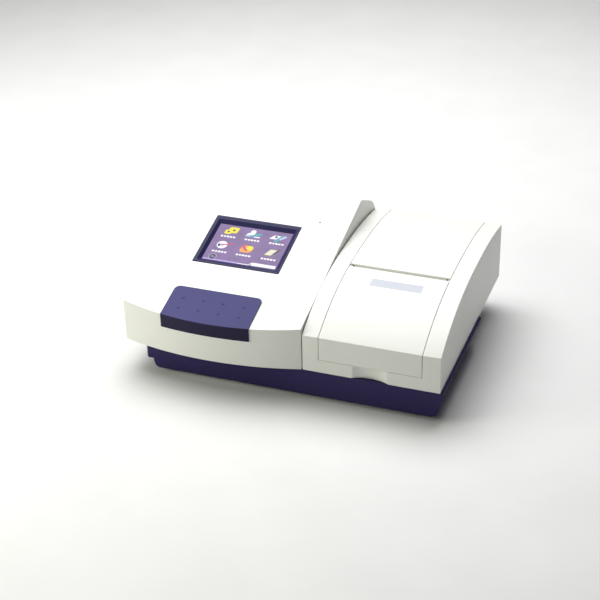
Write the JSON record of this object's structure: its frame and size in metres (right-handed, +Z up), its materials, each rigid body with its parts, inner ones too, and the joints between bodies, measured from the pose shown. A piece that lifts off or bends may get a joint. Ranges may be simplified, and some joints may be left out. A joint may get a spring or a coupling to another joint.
{
  "type": "plate spectrophotometer",
  "caption": "Bench plate spectrophotometer: touch-screen console beside a lidded measuring chamber with a sliding plate carrier, lamp optics and filter wheel.",
  "frame": {"origin": "on the table, under the middle of the whole instrument", "axes": "+Z up, -Y towards the user, +X to the user's right, across the console and the measuring section"},
  "size_m": [0.4844, 0.3784, 0.1864],
  "materials": {
    "shell_plastic": "fine-textured off-white moulding",
    "base_plastic": "dark indigo moulding, satin",
    "foot_rubber": "matt",
    "screw_steel": "zinc plated",
    "sheet_steel": "zinc plated sheet",
    "ground_steel": "ground and polished",
    "pad_elastomer": "soft-touch violet",
    "bezel_plastic": "violet moulding",
    "touch_glass": "touch screen, backlit",
    "circuit_board": "solder-masked board",
    "led_lens": "diffused",
    "black_plastic": "moulded",
    "black_gloss": "moulded",
    "cast_aluminium": "machined",
    "carrier_aluminium": "black anodised",
    "bush_bronze": "machined",
    "belt_rubber": "toothed belt",
    "motor_black": "black",
    "lens_glass": "clear",
    "fibre_plastic": "jacketed light guide",
    "lamp_metal": "heat-resistant grey",
    "lamp_ceramic": "ceramic base and quartz bulb",
    "wheel_brass": "machined",
    "filter_glass": "interference filters",
    "panel_metal": "grey powder coat"
  },
  "bodies": {
    "instrument": {"base_tub": "base_plastic", "rubber_feet": "foot_rubber", "base_screws": "screw_steel", "chassis_plate": "sheet_steel", "shell_screws": "screw_steel", "console_shell": "shell_plastic", "front_pad": "pad_elastomer", "display_bezel": "bezel_plastic", "touch_panel": "touch_glass", "lcd_module": "sheet_steel", "display_board": "circuit_board", "status_led": "led_lens", "chamber_housing": "shell_plastic", "lid_hinge_pins": "screw_steel", "optics_cover": "shell_plastic", "chamber_liner": "black_plastic", "guide_rods": "ground_steel", "rod_blocks": "cast_aluminium", "drive_belt": "belt_rubber", "drive_motor": "motor_black", "idler_bracket": "sheet_steel", "idler_pin": "ground_steel", "home_sensor": "black_plastic", "optics_bridge": "cast_aluminium", "bridge_posts": "ground_steel", "optical_head": "carrier_aluminium", "head_lenses": "lens_glass", "fibre_bundle": "fibre_plastic", "bundle_holder": "cast_aluminium", "lamp_housing": "lamp_metal", "halogen_lamp": "lamp_ceramic", "condenser_tube": "carrier_aluminium", "condenser_lens": "lens_glass", "wheel_motor": "motor_black", "detector_board": "circuit_board", "photodiodes": "black_plastic", "rear_panel": "panel_metal", "mains_inlet": "black_plastic", "inlet_pins": "bush_bronze", "switch_frame": "black_plastic", "serial_port": "sheet_steel", "usb_port": "sheet_steel", "fan_frame": "black_plastic", "fan_guard": "screw_steel", "power_supply": "sheet_steel", "main_board": "circuit_board", "board_chips": "black_plastic", "board_standoffs": "bush_bronze"},
    "lid": {"chamber_lid": "shell_plastic"},
    "carrier": {"plate_carrier": "carrier_aluminium", "carrier_bushes": "bush_bronze"},
    "drive_shaft": {"drive_pulley": "cast_aluminium", "motor_shaft": "ground_steel"},
    "idler": {"idler_pulley": "cast_aluminium"},
    "filter_changer": {"filter_wheel": "wheel_brass", "filter_glasses": "filter_glass", "wheel_shaft": "ground_steel"},
    "fan": {"fan_rotor": "black_plastic"},
    "rocker": {"power_rocker": "black_gloss"},
    "fuse_holder": {"fuse_drawer": "black_plastic"}
  },
  "joints": [
    {"name": "lid_hinge", "type": "hinge", "parent": "instrument", "child": "lid", "pos_m": [0.1353, -0.0292, 0.14564], "axis": [-1, 0, 0], "range_deg": [0, 100]},
    {"name": "carrier_slide", "type": "slide", "parent": "instrument", "child": "carrier", "axis": [0, 1, 0], "range_m": [0, 0.14]},
    {"name": "drive_spin", "type": "hinge", "parent": "instrument", "child": "drive_shaft", "pos_m": [0.0753, 0.1282, 0.064], "axis": [-1, 0, 0], "range_deg": [0, 900]},
    {"name": "idler_spin", "type": "hinge", "parent": "instrument", "child": "idler", "pos_m": [0.0753, -0.1418, 0.064], "axis": [-1, 0, 0], "range_deg": [0, 900]},
    {"name": "filter_wheel_spin", "type": "hinge", "parent": "instrument", "child": "filter_changer", "pos_m": [0.1623, 0.1162, 0.121], "axis": [0, 1, 0], "continuous": true},
    {"name": "fan_spin", "type": "hinge", "parent": "instrument", "child": "fan", "pos_m": [-0.0212, 0.1792, 0.081], "axis": [0, 1, 0], "continuous": true},
    {"name": "rocker_tilt", "type": "hinge", "parent": "instrument", "child": "rocker", "pos_m": [-0.1582, 0.1842, 0.072], "axis": [-1, 0, 0], "range_deg": [0, 16]},
    {"name": "fuse_drawer_slide", "type": "slide", "parent": "instrument", "child": "fuse_holder", "axis": [0, 1, 0], "range_m": [0, 0.012]}
  ],
  "couplings": [
    {"joint": "drive_spin", "follows": "carrier_slide", "rad_per_m": 111.11},
    {"joint": "idler_spin", "follows": "carrier_slide", "rad_per_m": 111.11}
  ]
}
